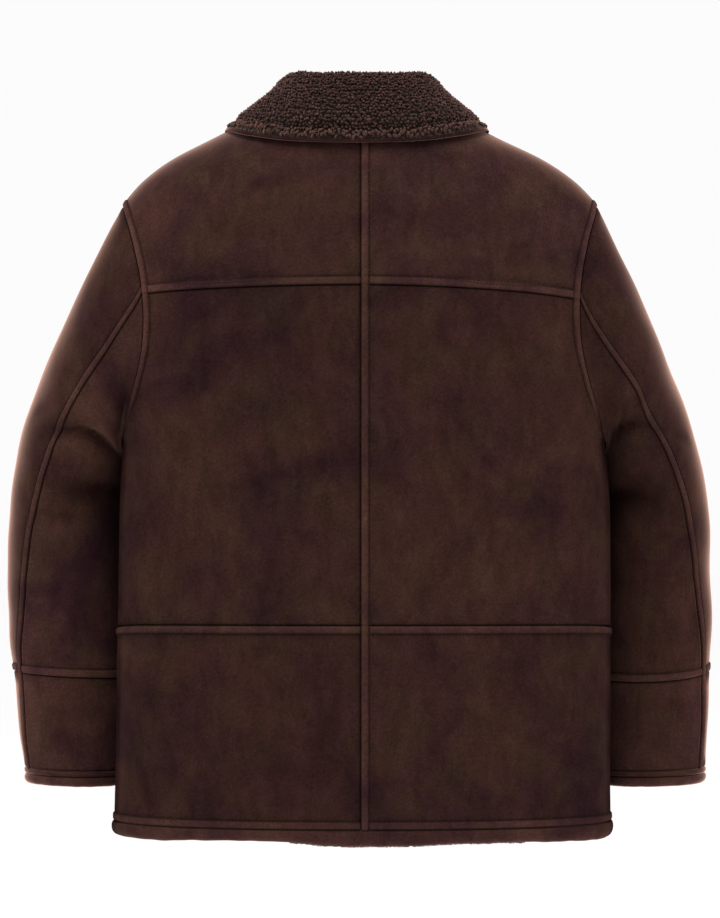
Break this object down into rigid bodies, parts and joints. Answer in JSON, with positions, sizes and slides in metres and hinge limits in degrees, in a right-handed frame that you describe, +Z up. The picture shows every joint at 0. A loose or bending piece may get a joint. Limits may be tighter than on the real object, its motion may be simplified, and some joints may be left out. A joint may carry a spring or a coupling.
{
  "type": "shearling coat",
  "caption": "Hip-length sheepskin coat, buttoned and hollow as worn: turned-down fleece collar, back yoke, centre back and waist seams, bent sleeves with cuff pieces, rolled hems.",
  "frame": {"origin": "middle of the neck, at the level of the centre back of the neckline seam", "axes": "+Z up; +Y the way the wearer faces, so the back of the coat faces -Y; +X the wearer's right"},
  "size_m": [0.7501, 0.2663, 0.7896],
  "materials": {
    "suede": "brushed nap, matt",
    "fleece": "curled wool, matt",
    "horn": "satin"
  },
  "bodies": {
    "root": {"collar": "fleece", "yoke_left": "suede", "yoke_right": "suede", "back_left": "suede", "back_right": "suede", "back_skirt_left": "suede", "back_skirt_right": "suede", "front_left": "suede", "front_right": "suede", "sleeve_outer_left": "suede", "sleeve_outer_right": "suede", "sleeve_under_left": "suede", "sleeve_under_right": "suede", "cuff_outer_left": "suede", "cuff_outer_right": "suede", "cuff_under_left": "suede", "cuff_under_right": "suede", "cuff_roll_left": "suede", "cuff_roll_right": "suede", "hem_back_left": "suede", "hem_back_right": "suede", "hem_front_left": "suede", "hem_front_right": "suede", "button_1": "horn", "button_2": "horn", "button_3": "horn", "button_4": "horn", "button_5": "horn"}
  },
  "joints": []
}
